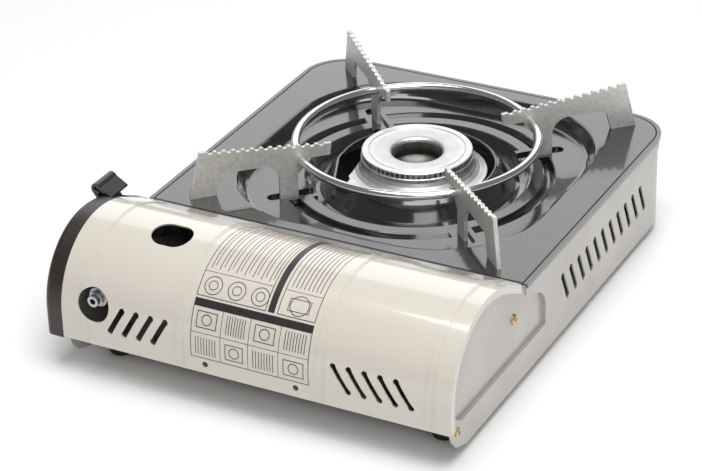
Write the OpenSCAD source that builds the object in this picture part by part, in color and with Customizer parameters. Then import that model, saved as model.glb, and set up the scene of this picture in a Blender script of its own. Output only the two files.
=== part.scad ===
// Butane cassette stove: a pressed steel tray with a dished enamel top, a round gas
// burner under a four-armed pan support, and a cartridge bay with a hinged cover.
// Millimetres. +Z up, +X towards the cartridge bay, +Y towards the vented back wall.
// Origin: middle of the footprint, on the ground under the feet.

/* [Body] */
// Overall width, left wall to the bulge of the cartridge cover
body_w = 340; // [320:1:360]
// Depth of the tray and cover, without panel and knob
body_d = 258.8; // [245:0.2:275]
// Height of the flat rim of the top plate above the tray bottom
plate_h = 63.2; // [58:0.1:70]
// Width of the top plate
plate_w = 236.1; // [225:0.1:250]
// Sheet thickness of the tray and the cover
sheet_t = 1; // [0.8:0.1:1.4]
// Corner radius of the left side seen from above
corner_r = 30; // [20:1:40]
// Height of the rubber feet under the tray
foot_h = 5.5; // [4:0.5:9]

/* [Top plate] */
// Half length of the dish along X
dish_x = 105.5; // [100:0.5:108]
// Half length of the dish along Y
dish_y = 103.3; // [98:0.5:108]
// Corner radius of the dish
dish_r = 70; // [60:1:80]
// Depth of the flat shelf of the dish
dish_depth = 9; // [7:0.5:12]
// Radius of the round opening for the burner
mouth_r = 50; // [49:0.5:53]

/* [Burner] */
// Radius of the burner cap
cap_r = 35.6; // [33:0.1:36.5]
// Radius of the air hole in the middle of the cap
eye_r = 16.2; // [12:0.1:18]
// Height of the cap above the flat rim
cap_rise = 8.7; // [7:0.1:11]
// Number of flame ports
ports = 64; // [48:2:72]

/* [Pan support] */
// Centre line radius of the wire ring
ring_r = 77.4; // [75:0.1:78]
// Wire thickness of the ring
ring_wire = 5.4; // [4:0.1:6]
// Height of the wire centre above the flat rim
ring_rise = 15.6; // [14:0.1:17]
// Sheet thickness of the arms
arm_t = 2.6; // [2:0.1:3.5]
// Height of the outer end of the arms above the flat rim
arm_rise = 31; // [26:0.5:36]

/* [Cartridge cover] */
// Radius of the outer quarter of the cover
cover_r = 48.7; // [46:0.1:50]
// Height of the highest line of the cover above the tray bottom
cover_h = 83.2; // [81:0.1:88]
// Radius of the hose hole in the cover
hose_hole_r = 10.9; // [9:0.1:12]

/* [Controls] */
// Depth of the black front panel
panel_t = 13.2; // [11:0.1:16]
// Radius of the control knob
knob_r = 18; // [15:0.5:18]
// How far the knob stands out of the panel
knob_out = 11; // [8:0.5:14]
// Height of the knob and cartridge axis above the tray bottom
axis_z = 38; // [37:0.5:39]

/* [Hidden] */
$fn = 64;
eps = 0.01;
// ends of the tray measured from the burner axis
x_left = -120.7;
x_right = x_left + body_w;
x_plate = x_left + plate_w;
x_cover = x_plate + 1.6;
y_back = 128.6;
y_front = y_back - body_d;
y_panel = y_front - panel_t;
y_knob = y_panel - knob_out;
// the frame sits in the middle of the footprint
burner_x = -(x_left + x_right) / 2;
burner_y = -(y_back + y_knob) / 2;
// inner face of the tray walls is inset from the plate edge
wall_in = 1.8;
wall_y = y_back - wall_in;
wall_x = x_left + wall_in;
wall_f = y_front + wall_in;
wall_top = plate_h - 0.9;
// centre of the outer quarter of the cover profile and of its flatter crown
b_x = x_right - cover_r;
b_z = cover_h - cover_r;
crown_r = 64;
a_z = cover_h - crown_r;
slope = 26.565;
cover_low = 18.5;
// the hinge line lies just under the plate side of the cover
hinge_x = x_cover + 2.8;
hinge_z = plate_h - 1.4;
axis_x = b_x - 10.8;
hose_y = -107.8;
hose_z = 44.9;
// the nozzle stands a little off the middle of its hole
inlet_y = hose_y - 1.2;
inlet_z = hose_z + 1.5;
finger_x = 179.8;
finger_y = -73.2;
tube_az = -36.87;
tube_z = 32;
cap_z = plate_h + cap_rise;
ring_z = plate_h + ring_rise;
lever_x = 141.7;
tail_x = 135.2;
lever_w = 19;

module place() {
    translate([burner_x, burner_y, foot_h])
        children();
}

// turn a drawing in the X-Z plane into a solid running from y0 to y1
module along_y(y0, y1) {
    translate([0, y1, 0])
        rotate([90, 0, 0])
            linear_extrude(height = y1 - y0)
                children();
}

// ---------- outlines ----------
// plan of the tray and plate: round corners on the left, square on the right
module plan(inset, right) {
    x0 = x_left + inset;
    y0 = y_front + inset;
    y1 = y_back - inset;
    r = corner_r - inset;
    union() {
        translate([x0 + r, y0])
            square([right - x0 - r, y1 - y0]);
        translate([x0, y0 + r])
            square([r + 1, y1 - y0 - 2 * r]);
        translate([x0 + r, y0 + r])
            circle(r = r);
        translate([x0 + r, y1 - r])
            circle(r = r);
    }
}

// plan of the dish, reduced by a given inset
module dish_plan(inset) {
    r = dish_r - inset;
    union() {
        square([2 * (dish_x - dish_r), 2 * (dish_y - inset)], center = true);
        square([2 * (dish_x - inset), 2 * (dish_y - dish_r)], center = true);
        for (sx = [-1, 1], sy = [-1, 1])
            translate([sx * (dish_x - dish_r), sy * (dish_y - dish_r)])
                circle(r = r, $fn = 96);
    }
}

// profile of the cartridge cover in X-Z, reduced by a given inset, down to z0
module cover_shape(inset, z0) {
    ra = crown_r - inset;
    rb = cover_r - inset;
    // the flat parts lie a hair inside the arcs so that they cross and don't just touch
    tx = b_x - (ra - 0.02) * sin(slope);
    tz = a_z + (ra - 0.02) * cos(slope);
    union() {
        intersection() {
            translate([b_x, b_z])
                circle(r = rb, $fn = 128);
            translate([b_x, b_z])
                square([cover_r + 1, cover_r + 1]);
        }
        intersection() {
            translate([b_x, a_z])
                circle(r = ra, $fn = 160);
            polygon([[b_x, a_z], [b_x, cover_h + 1],
                [b_x - (crown_r + 9) * sin(slope + 4), a_z + (crown_r + 9) * cos(slope + 4)]]);
        }
        polygon([[x_cover, z0], [b_x, z0], [b_x, b_z], [tx, tz],
            [x_cover, tz - (tx - x_cover) * tan(slope)]]);
        polygon([[b_x, z0], [b_x + rb - 0.01, z0], [b_x + rb - 0.01, b_z + 0.5],
            [b_x, b_z + 0.5]]);
    }
}

// ---------- tray ----------
// outline of the end plates of the cartridge bay
module end_plate_shape() {
    intersection() {
        cover_shape(sheet_t + 0.5, -1);
        polygon([[x_cover - 5, 0], [b_x + 25, 0], [b_x + 38, 4.5], [b_x + 44, 11],
            [b_x + 47.2, 20], [b_x + 60, 30], [b_x + 60, 90], [x_cover - 5, 90]]);
    }
}

// pressed recess in the back end plate
module recess_shape(inset) {
    difference() {
        intersection() {
            union() {
                cover_shape(sheet_t + 7 + inset, 19 + inset);
                polygon([[84 + inset, 19 + inset], [x_cover + 3, 19 + inset],
                    [x_cover + 3, 57.4 - inset], [93 + inset, 46 - inset],
                    [88.5 + inset, 42.5 - inset], [85.5 + inset, 38 - inset],
                    [84 + inset, 33 - inset]]);
            }
            polygon([[80, 19 + inset], [202 - inset, 19 + inset], [211 - inset, 25],
                [b_x + cover_r, 40], [b_x + cover_r, 90], [80, 90]]);
        }
    }
}

module slot_row(n, x0, pitch, lean, z0, z1, w) {
    for (i = [0 : n - 1]) {
        polygon([[x0 + i * pitch - w / 2, z0], [x0 + i * pitch + w / 2, z0],
            [x0 + i * pitch + lean + w / 2, z1], [x0 + i * pitch + lean - w / 2, z1]]);
        translate([x0 + i * pitch, z0])
            circle(r = w / 2, $fn = 16);
        translate([x0 + i * pitch + lean, z1])
            circle(r = w / 2, $fn = 16);
    }
}

module tray_raw() {
    // burner bay: floor, walls and rim flange
    difference() {
        linear_extrude(height = wall_top)
            plan(wall_in, x_cover);
        translate([0, 0, sheet_t])
            linear_extrude(height = wall_top)
                plan(wall_in + sheet_t, x_cover + 1);
        // air slots in the floor under the burner
        for (a = [0 : 45 : 315])
            rotate([0, 0, a])
                translate([26, -3, -1])
                    cube([26, 6, 4]);
        // openings in the back and front wall are cut with the slot rows
        along_y(wall_y - 4, wall_y + 1)
            slot_row(11, -74, 12.45, 8.3, 21.8, 39, 4.6);
        along_y(y_front, y_front + 6)
            slot_row(11, -74, 12.45, 8.3, 21.8, 39, 4.6);
    }
    // outward rim band under the plate
    difference() {
        translate([0, 0, wall_top - 8])
            linear_extrude(height = 8)
                plan(wall_in - 0.9, x_cover - 1.9);
        translate([0, 0, wall_top - 9])
            linear_extrude(height = 11)
                plan(wall_in + 0.5, x_cover);
    }
    // inward flange that carries the plate
    difference() {
        translate([0, 0, wall_top - sheet_t])
            linear_extrude(height = sheet_t)
                plan(wall_in + 0.5, x_plate - 7.5);
        translate([0, 0, wall_top - sheet_t - 1])
            linear_extrude(height = sheet_t + 2)
                translate([0, (y_back + y_front) / 2])
                    square([2 * (x_plate - 8.3), body_d - 2 * (wall_in + 9)], center = true);
        translate([x_plate - 20, y_front + 10, wall_top - sheet_t - 1])
            cube([30, body_d - 20, sheet_t + 2]);
    }
    // end plates of the cartridge bay, at the back and at the front
    along_y(wall_y - sheet_t, wall_y)
        end_plate_shape();
    along_y(wall_f, wall_f + sheet_t)
        end_plate_shape();
    // floor and upturned side of the cartridge bay
    along_y(wall_f + 0.5, wall_y - 0.5)
        polygon([[x_cover - 1, 0], [b_x + 18.6, 0], [b_x + 41, 14.2], [b_x + 41, 24],
            [b_x + 41 - sheet_t, 24], [b_x + 41 - sheet_t, 14.7], [b_x + 18.4, sheet_t],
            [x_cover - 1, sheet_t]]);
    // dished back of the end plate recess
    along_y(wall_y - 2.4 - sheet_t, wall_y - 0.4)
        difference() {
            recess_shape(-0.8);
            recess_shape(0.2);
        }
    along_y(wall_y - 2.4 - sheet_t, wall_y - 2.4)
        recess_shape(0);
}

module tray() {
    color([0.87, 0.85, 0.80])
    place()
        difference() {
            tray_raw();
            // the recess itself
            along_y(wall_y - 2.4, wall_y + 1)
                recess_shape(0);
            // window for the knob shaft and the valve neck in the front end plate
            translate([axis_x, wall_f - 2, axis_z])
                rotate([-90, 0, 0])
                    cylinder(r = 8.5, h = 6);
            // window for the lever
            translate([lever_x - lever_w / 2 - 1.5, wall_f - 2, 49])
                cube([lever_w + 3, 6, 18.5]);
            // seats of the hinge rod
            translate([hinge_x, wall_f - 0.4, hinge_z])
                rotate([-90, 0, 0])
                    cylinder(r = 1.55, h = 3);
            translate([hinge_x, wall_y - 2.6, hinge_z])
                rotate([-90, 0, 0])
                    cylinder(r = 1.55, h = 3);
            // holes for the panel screws
            for (p = panel_screw_points())
                translate([p[0], wall_f - 2, p[1]])
                    rotate([-90, 0, 0])
                        cylinder(r = 1.58, h = 6, $fn = 24);
            // holes for the feet
            for (p = foot_points())
                translate([p[0], p[1], -1])
                    cylinder(r = 4, h = 4);
            // holes for the screws of the brackets and of the back plate
            for (p = base_screw_points())
                translate([p[0], p[1], -1])
                    cylinder(r = 1.43, h = 4, $fn = 24);
            for (p = back_screw_points())
                translate([p[0], wall_y - 6, p[1]])
                    rotate([-90, 0, 0])
                        cylinder(r = 1.53, h = 8, $fn = 24);
        }
}

function panel_screw_points() = [[126, 26], [206, 27.5]];

function back_screw_points() = [[126, 44.2], [207.3, 14.3]];

function base_screw_points() = [[-35, 0], [35, 0], [111, -60], [111, 70], [139.5, -96],
    [180.5, -96], [160, 30]];

function foot_points() = [[-98, -106], [184.6, -112], [-98, 106], [184.6, 108]];

module bay_partition() {
    color([0.78, 0.78, 0.78])
    place()
        difference() {
            union() {
                translate([x_plate - 9, wall_f + sheet_t + 0.3, sheet_t])
                    cube([0.9, wall_y - wall_f - sheet_t - 4.2, wall_top - 2 * sheet_t - 1]);
                // foot flange on the tray floor
                translate([x_plate - 9, wall_f + sheet_t + 0.3, sheet_t])
                    cube([8, wall_y - wall_f - sheet_t - 4.2, 0.9]);
                // head flange under the plate edge
                translate([x_plate - 9, wall_f + sheet_t + 0.3, wall_top - 1.9 - 0.3])
                    cube([7.4, wall_y - wall_f - sheet_t - 4.2, 0.9]);
            }
            // gas pipe hole
            rotate([0, 0, tube_az])
                translate([100, 0, tube_z])
                    rotate([0, 90, 0])
                        cylinder(r = 4.5, h = 60);
            // lead hole
            translate([x_plate - 12, -112, 26])
                rotate([0, 90, 0])
                    cylinder(r = 2.5, h = 12);
            // heat windows
            for (y = [-40 : 24 : 90])
                translate([x_plate - 12, y, 14])
                    cube([8, 12, 20]);
            // holes for the two screws from below
            for (y = [-60, 70])
                translate([111, y, 0])
                    cylinder(r = 1.43, h = 4, $fn = 24);
        }
}

// ---------- top plate ----------
// section of the round part of the dish; first value radius, second height
function dish_top() = [[88.6, -dish_depth], [87.6, -dish_depth - 0.5], [86, -dish_depth - 3.2],
    [84.6, -dish_depth - 4.4], [83.2, -dish_depth - 4.2], [82.2, -dish_depth - 2.8],
    [81, -dish_depth - 0.4], [80.3, -dish_depth], [72.8, -dish_depth], [71.8, -dish_depth - 0.4],
    [70, -dish_depth - 3.6], [68, -dish_depth - 6.6], [65.6, -dish_depth - 7.6],
    [63, -dish_depth - 6.9], [60, -dish_depth - 4], [56.5, -dish_depth + 1.2],
    [53.6, -dish_depth + 5.2], [52, -dish_depth + 6.9], [51, -dish_depth + 7.4],
    [mouth_r, -dish_depth + 7.4]];

module dish_rings() {
    t = 0.9;
    top = dish_top();
    n = len(top);
    rotate_extrude($fn = 96)
        polygon(concat(
            [for (i = [0 : n - 1]) [top[i][0], plate_h + top[i][1]]],
            [for (i = [n - 1 : -1 : 0]) [top[i][0] - (i < 1 ? 0 : (i < 5 || (i > 7 && i < 12)) ? -0.25 : (i > 13 && i < n - 1) ? 0.3 : 0), plate_h + top[i][1] - t]]));
    // rolled edge of the opening
    translate([0, 0, plate_h - dish_depth + 7])
        rotate_extrude($fn = 96)
            translate([mouth_r + 0.2, 0])
                circle(r = 0.95, $fn = 16);
}

// section of the dish wall; x is measured inwards from the dish outline
module wall_section() {
    polygon([[-1.5, 0], [0, -0.1], [0.9, -0.6], [1.8, -1.7], [4.6, -6.4], [5.6, -7.7],
        [6.8, -8.6], [8.2, -9], [8.2, -9.9], [6.4, -9.5], [5, -8.5], [3.9, -7.1],
        [1.1, -2.4], [0.4, -1.5], [-0.3, -1], [-1.5, -0.9]]);
}

module dish_wall() {
    cx = dish_x - dish_r;
    cy = dish_y - dish_r;
    for (a = [0, 90, 180, 270])
        translate([(a == 0 || a == 270) ? cx : -cx, (a < 100) ? cy : -cy, plate_h])
            rotate([0, 0, a])
                rotate_extrude(angle = 90, $fn = 96)
                    translate([dish_r, 0])
                        mirror([1, 0])
                            wall_section();
    for (s = [-1, 1]) {
        translate([s * dish_x, 0, plate_h])
            rotate([90, 0, s > 0 ? 0 : 180])
                translate([0, 0, -cy])
                    linear_extrude(height = 2 * cy)
                        mirror([1, 0])
                            wall_section();
        translate([0, s * dish_y, plate_h])
            rotate([90, 0, s > 0 ? 90 : -90])
                translate([0, 0, -cx])
                    linear_extrude(height = 2 * cx)
                        mirror([1, 0])
                            wall_section();
    }
}

// plan of the notch that widens the opening towards the valve
module mouth_notch(grow) {
    polygon([[8, -49.2 - grow], [15, -48.4 - grow], [43.6 + grow, -36.4 - grow],
        [48.6 + grow, -28.6], [49.6 + grow, -12], [30, -10], [8, -30]]);
}

module groove_pad(az) {
    rotate([0, 0, az]) {
        translate([69, -7.4, plate_h - dish_depth - 3.4])
            cube([28, 14.8, 3.4]);
        translate([97, 0, plate_h - dish_depth - 3.4])
            cylinder(r = 7.4, h = 3.4, $fn = 32);
    }
}

module groove_cut(az) {
    rotate([0, 0, az]) {
        translate([71.5, -4.2, plate_h - dish_depth - 2.2])
            cube([24.5, 8.4, 6]);
        translate([71.5, 0, plate_h - dish_depth - 2.2])
            cylinder(r = 4.2, h = 6, $fn = 32);
        translate([96, 0, plate_h - dish_depth - 2.2])
            cylinder(r = 4.2, h = 6, $fn = 32);
    }
}

module top_plate() {
    color([0.10, 0.10, 0.11])
    place()
        difference() {
            union() {
                // flat rim
                difference() {
                    translate([0, 0, plate_h - 0.9])
                        linear_extrude(height = 0.9)
                            plan(0, x_plate);
                    translate([0, 0, plate_h - 2])
                        linear_extrude(height = 4)
                            dish_plan(-1.2);
                }
                // turned-down hem
                difference() {
                    translate([0, 0, plate_h - 2.6])
                        linear_extrude(height = 2)
                            plan(0, x_plate);
                    translate([0, 0, plate_h - 3])
                        linear_extrude(height = 4)
                            plan(0.86, x_plate + 1);
                }
                dish_wall();
                // shelf of the dish
                difference() {
                    translate([0, 0, plate_h - dish_depth - 0.9])
                        linear_extrude(height = 0.9)
                            dish_plan(8);
                    translate([0, 0, plate_h - dish_depth - 2])
                        cylinder(r = 88.4, h = 4, $fn = 96);
                }
                dish_rings();
                for (a = [45 : 90 : 315])
                    groove_pad(a);
                // collar of the notch
                difference() {
                    translate([0, 0, plate_h - dish_depth + 5.3])
                        linear_extrude(height = 2.6)
                            mouth_notch(1.2);
                    translate([0, 0, plate_h - 12])
                        cylinder(r = mouth_r, h = 14);
                }
            }
            for (a = [45 : 90 : 315])
                groove_cut(a);
            translate([0, 0, plate_h - 20])
                linear_extrude(height = 30)
                    mouth_notch(0);
            // straight outer faces clear of the walls
            translate([0, 0, plate_h - 30])
                cylinder(r = mouth_r - 1, h = 40);
        }
}

// ---------- cartridge cover ----------
// raised bead around the cover
module cover_bead(y, w, rise) {
    along_y(y - w / 2, y + w / 2)
        difference() {
            cover_shape(-rise, cover_low + 3);
            translate([x_cover - 1, cover_low])
                square([8, 90]);
            translate([x_cover - 1, cover_low - 1])
                square([b_x - x_cover, 40]);
        }
}

module cover_raw() {
    difference() {
        union() {
            along_y(y_front, y_back)
                cover_shape(0, cover_low);
            for (y = [-114, -48, 45, 115]) {
                cover_bead(y, 6, 0.35);
                cover_bead(y, 3.6, 0.7);
            }
        }
        along_y(y_front - 1, y_back + 1)
            cover_shape(sheet_t, cover_low - 1);
        // notches at the two ends of the hinge edge
        translate([x_cover - 1, y_front - 1, 55])
            cube([7.5, wall_f + sheet_t + 0.5 - y_front + 1, 14]);
        translate([x_cover - 1, wall_y - sheet_t - 0.5, 55])
            cube([7.5, 6, 14]);
    }
    // narrow flange turned inwards at the back end
    along_y(y_back - sheet_t, y_back)
        difference() {
            cover_shape(0.3, cover_low);
            cover_shape(5, cover_low - 1);
            translate([x_cover - 1, 50])
                square([7.5, 19]);
        }
    // rolled knuckles round the hinge rod
    for (y = [-100, -34, 32, 98])
        translate([hinge_x, y - 8, hinge_z])
            rotate([-90, 0, 0])
                cylinder(r = 2.55, h = 16, $fn = 32);
}

module cartridge_cover() {
    color([0.88, 0.86, 0.81])
    place()
        difference() {
            cover_raw();
            translate([hinge_x, y_front - 1, hinge_z])
                rotate([-90, 0, 0])
                    cylinder(r = 1.56, h = body_d + 2, $fn = 32);
            // oval finger hole on the crown
            translate([finger_x, finger_y, cover_h - 0.9])
                rotate([0, 11, 0])
                    translate([0, 0, -15])
                        linear_extrude(height = 30)
                            union() {
                                translate([0, -3.2])
                                    circle(r = 10);
                                translate([0, 3.2])
                                    circle(r = 10);
                                square([19.9, 6.4], center = true);
                            }
            // hose hole
            translate([b_x + 20, hose_y, hose_z])
                rotate([0, 90, 0])
                    cylinder(r = hose_hole_r, h = 40);
            // leaning air slots low on the side, four in front and five behind
            translate([b_x + 30, 0, 0])
                rotate([90, 0, 90])
                    linear_extrude(height = 30) {
                        slot_row(4, -96.4, 9.95, 8.5, 30.6, 45.4, 4);
                        slot_row(5, 63.3, 10.05, -9.8, 30.6, 44.8, 4);
                    }
            // two small holes under the panel between the beads
            for (y = [-31.2, 29.2])
                translate([b_x + 30, y, 24.5])
                    rotate([0, 90, 0])
                        cylinder(r = 1.9, h = 30, $fn = 24);
        }
}

module cover_hinge_rod() {
    color([0.75, 0.75, 0.76])
    place()
        translate([hinge_x, wall_f + 0.3, hinge_z])
            rotate([-90, 0, 0])
                cylinder(r = 1.5, h = wall_y - wall_f - 0.7, $fn = 32);
}

// ---------- front panel and controls ----------
// block with the cover profile and a rounded front edge
module panel_block(inset, y0, y1, f, z0) {
    ra = crown_r - inset - f;
    rb = cover_r - inset - f;
    tx = b_x - ra * sin(slope);
    tz = a_z + ra * cos(slope);
    along_y(y0 + f, y1)
        cover_shape(inset, z0);
    along_y(y0, y0 + f + 1)
        cover_shape(inset + f, z0);
    translate([b_x, y0 + f, b_z])
        rotate([90, 0, 0])
            rotate_extrude(angle = 90, $fn = 96)
                translate([rb, 0])
                    circle(r = f, $fn = 48);
    translate([b_x, y0 + f, a_z])
        rotate([90, 0, 0])
            rotate([0, 0, 90])
                rotate_extrude(angle = slope, $fn = 96)
                    translate([ra, 0])
                        circle(r = f, $fn = 48);
    intersection() {
        translate([tx, y0 + f, tz])
            rotate([0, -90 - slope, 0])
                translate([0, 0, -1])
                    cylinder(r = f - 0.02, h = 60, $fn = 48);
        translate([x_cover, y0, 0])
            cube([80, f + 1, 100]);
    }
    translate([b_x + rb, y0 + f, z0])
        cylinder(r = f - 0.01, h = b_z - z0 + 0.5, $fn = 48);
}

module front_panel() {
    color([0.06, 0.06, 0.06])
    place()
        difference() {
            union() {
                panel_block(0.3, y_panel, y_front - 0.5, 5, 17.5);
                // inner rim that meets the end plate
                along_y(y_front - 1, wall_f)
                    cover_shape(1.5, 19);
            }
            // hollow back
            difference() {
                along_y(y_panel + 2.4, y_front + 5)
                    cover_shape(2.5, 20);
                translate([x_cover, y_panel, 0])
                    cube([2.2, 30, 100]);
                // posts for the screws
                for (p = panel_screw_points())
                    translate([p[0], y_panel, p[1]])
                        rotate([-90, 0, 0])
                            cylinder(r = 4, h = 40);
            }
            // shallow dish behind the knob
            translate([axis_x, y_panel - 1, axis_z])
                rotate([-90, 0, 0])
                    cylinder(r = knob_r + 1.4, h = 1.9);
            // hole for the shaft
            translate([axis_x, y_panel - 2, axis_z])
                rotate([-90, 0, 0])
                    cylinder(r = 5, h = 20);
            // upright slot for the lever, open at the top
            translate([lever_x - lever_w / 2 - 0.8, y_panel - 2, 61.2])
                cube([lever_w + 1.6, 12.4, 30]);
            // seats of the screws
            for (p = panel_screw_points())
                translate([p[0], y_panel - 1, p[1]])
                    rotate([-90, 0, 0]) {
                        cylinder(r = 3.6, h = 2.4, $fn = 32);
                        cylinder(r = 1.6, h = 30, $fn = 24);
                    }
        }
}

module panel_screws() {
    color([0.6, 0.6, 0.6])
    place()
        for (p = panel_screw_points())
            translate([p[0], y_panel + 0.2, p[1]])
                rotate([-90, 0, 0])
                    difference() {
                        union() {
                            cylinder(r = 3.2, h = 1.2, $fn = 32);
                            cylinder(r = 1.5, h = 15.6, $fn = 24);
                        }
                        for (a = [0, 90])
                            rotate([0, 0, a])
                                translate([-1.8, -0.4, -1])
                                    cube([3.6, 0.8, 1.6]);
                    }
}

module control_knob() {
    color([0.05, 0.05, 0.05])
    place()
        translate([axis_x, y_panel, axis_z])
            rotate([90, 0, 0])
                difference() {
                    union() {
                        // skirt, drum and rounded face
                        translate([0, 0, -0.4])
                            cylinder(r = knob_r, h = 2.6);
                        cylinder(r1 = knob_r - 1, r2 = knob_r - 3, h = knob_out - 4);
                        intersection() {
                            translate([-4.5, -knob_r + 1.5, 0])
                                cube([9, 2 * knob_r - 3, knob_out]);
                            cylinder(r = knob_r - 1.2, h = knob_out);
                        }
                    }
                    // finger hollows on both sides of the grip bar
                    for (s = [-1, 1])
                        translate([s * (knob_r + 1.5), 0, knob_out - 4])
                            rotate([90, 0, 0])
                                cylinder(r = 13, h = 80, center = true);
                    translate([0, 0, -2])
                        cylinder(r = 3.05, h = 6.5);
                    // grip flutes
                    for (a = [0 : 20 : 340])
                        rotate([0, 0, a])
                            translate([knob_r + 0.5, 0, -2])
                                cylinder(r = 1.5, h = 12, $fn = 16);
                }
}

module valve_spindle() {
    color([0.75, 0.65, 0.35])
    place()
        translate([axis_x, y_panel - 3.4, axis_z])
            rotate([-90, 0, 0])
                cylinder(r = 3, h = 38.4);
}

// bent strip drawn from a list of points
module strip2d(pts, w) {
    for (i = [0 : len(pts) - 2]) {
        d = pts[i + 1] - pts[i];
        translate(pts[i])
            rotate(atan2(d[1], d[0]))
                translate([0, -w / 2])
                    square([norm(d), w]);
    }
    for (p = pts)
        translate(p)
            circle(r = w * 0.54, $fn = 24);
}

lever_pivot = [-124, 63.5];
// drive tail of the lever, below the pivot
lever_tail = [-121.5, 50];

module lock_lever() {
    color([0.08, 0.08, 0.09])
    place()
        difference() {
            union() {
                translate([lever_x - lever_w / 2, 0, 0])
                    rotate([90, 0, 90])
                        linear_extrude(height = lever_w)
                            union() {
                                strip2d([lever_pivot, [-137, 67.2], [-141.2, 73],
                                [-147.2, 81.5]], 2);
                                strip2d([[-144, 84.5], [-135.3, 79.1]], 2);
                                translate([-145.2, 83.2])
                                    difference() {
                                        circle(r = 3.4, $fn = 48);
                                        circle(r = 1.4, $fn = 32);
                                        polygon([[0, 0], [5, -5], [5, 1.4]]);
                                    }
                                translate(lever_pivot)
                                    circle(r = 3.6, $fn = 48);
                            }
                translate([tail_x - 2.5, 0, 0])
                    rotate([90, 0, 90])
                        linear_extrude(height = 5)
                            strip2d([lever_pivot, lever_tail], 2);
            }
            translate([0, lever_pivot[0], lever_pivot[1]])
                rotate([0, 90, 0])
                    cylinder(r = 2.05, h = 300, $fn = 32);
            // gap in the hub for the spring
            translate([lever_x + 2.6, lever_pivot[0] - 4.4, lever_pivot[1] - 4.4])
                cube([6, 8.8, 8.8]);
        }
}

module lever_pivot_pin() {
    color([0.7, 0.7, 0.7])
    place()
        translate([lever_x - 13.2, lever_pivot[0], lever_pivot[1]])
            rotate([0, 90, 0])
                cylinder(r = 2, h = 26.4, $fn = 32);
}

module lever_bracket() {
    color([0.72, 0.72, 0.73])
    place()
        difference() {
            union() {
                translate([lever_x - 17.2, wall_f + sheet_t, 46.2])
                    cube([34.4, 1.2, 18]);
                for (s = [-1, 1])
                    translate([lever_x + s * 12.3 - 0.6, wall_f + sheet_t, 58])
                        cube([1.2, 8.6, 10]);
                // ledge that carries the front end of the slide
                translate([lever_x - 14.2, wall_f + sheet_t, 51.8])
                    cube([4.2, 17, 1.2]);
            }
            translate([lever_x - 20, lever_pivot[0], lever_pivot[1]])
                rotate([0, 90, 0])
                    cylinder(r = 2.01, h = 40, $fn = 32);
            translate([lever_x - lever_w / 2 - 0.7, wall_f, 48.9])
                difference() {
                    cube([lever_w + 1.4, 4, 40]);
                    translate([-1, 0, 2.9])
                        cube([2.4, 4, 1.2]);
                }
        }
}

module lever_spring() {
    color([0.7, 0.7, 0.72])
    place()
        union() {
            translate([lever_x + 3.5, lever_pivot[0], lever_pivot[1]])
                rotate([0, 90, 0])
                    rotate_extrude($fn = 32)
                        difference() {
                            translate([2.2, -0.6])
                                square([1.2, 4.4]);
                            for (i = [0 : 2])
                                translate([3.5, 0.5 + i * 1.1])
                                    circle(r = 0.3, $fn = 4);
                        }
            // straight leg that bears on the bracket
            translate([lever_x + 6.2, lever_pivot[0] - 3.2, 49.3])
                cube([1, 1, 14]);
        }
}

module locking_slide() {
    color([0.76, 0.76, 0.78])
    place()
        difference() {
            union() {
                translate([127.5, -126.2, 53])
                    cube([12.7, 53.2, 1.2]);
                // pad that bears on the shoulder of the cartridge
                translate([131, -74.2, 44])
                    cube([9.2, 1.2, 10.2]);
            }
            // slot round the tail of the lever
            translate([tail_x - 3, -124.6, 52])
                cube([6, 4.8, 4]);
            translate([132, -110, 52])
                cube([3.6, 24, 4]);
        }
}

// ---------- valve ----------
module valve_body() {
    color([0.74, 0.75, 0.76])
    place()
        difference() {
            union() {
                translate([142, -114, 22])
                    cube([36, 36, 32]);
                translate([axis_x, -127, axis_z])
                    rotate([-90, 0, 0])
                        cylinder(r = 7.5, h = 14);
                translate([axis_x, -79, axis_z])
                    rotate([-90, 0, 0])
                        cylinder(r = 15, h = 3);
                translate([177, inlet_y, inlet_z])
                    rotate([0, 90, 0])
                        cylinder(r = 6.1, h = 5);
                // ribs of the casting
                for (z = [26, 48])
                    translate([140.8, -112, z])
                        cube([2, 32, 1.6]);
            }
            // bore of the spindle
            translate([axis_x, -128, axis_z])
                rotate([-90, 0, 0])
                    cylinder(r = 3.04, h = 26);
            // seat of the socket
            translate([axis_x, -84, axis_z])
                rotate([-90, 0, 0])
                    cylinder(r = 6.02, h = 10);
            // seat of the regulator cap
            translate([160, -96, 52.4])
                cylinder(r = 14, h = 4);
            // lightening pocket below
            translate([150, -106, 21])
                cube([20, 22, 7]);
        }
}

module regulator_cap() {
    color([0.80, 0.80, 0.81])
    place()
        translate([160, -96, 52.4]) {
            cylinder(r = 13.98, h = 2);
            translate([0, 0, 1.6])
                cylinder(r = 17, h = 2.4);
            translate([0, 0, 3.8])
                cylinder(r1 = 13, r2 = 11, h = 3.4);
            translate([0, 0, 7])
                cylinder(r = 4, h = 2.2);
        }
}

module cartridge_socket() {
    color([0.80, 0.66, 0.34])
    place()
        translate([axis_x, -84, axis_z])
            rotate([-90, 0, 0])
                difference() {
                    union() {
                        cylinder(r = 6, h = 12);
                        translate([0, 0, 8])
                            cylinder(r = 8.5, h = 4);
                        cylinder(r = 5, h = 17);
                    }
                    translate([0, 0, 5])
                        cylinder(r = 2.1, h = 20, $fn = 32);
                    translate([0, 0, 15])
                        cylinder(r = 3.2, h = 10, $fn = 32);
                }
}

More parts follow.
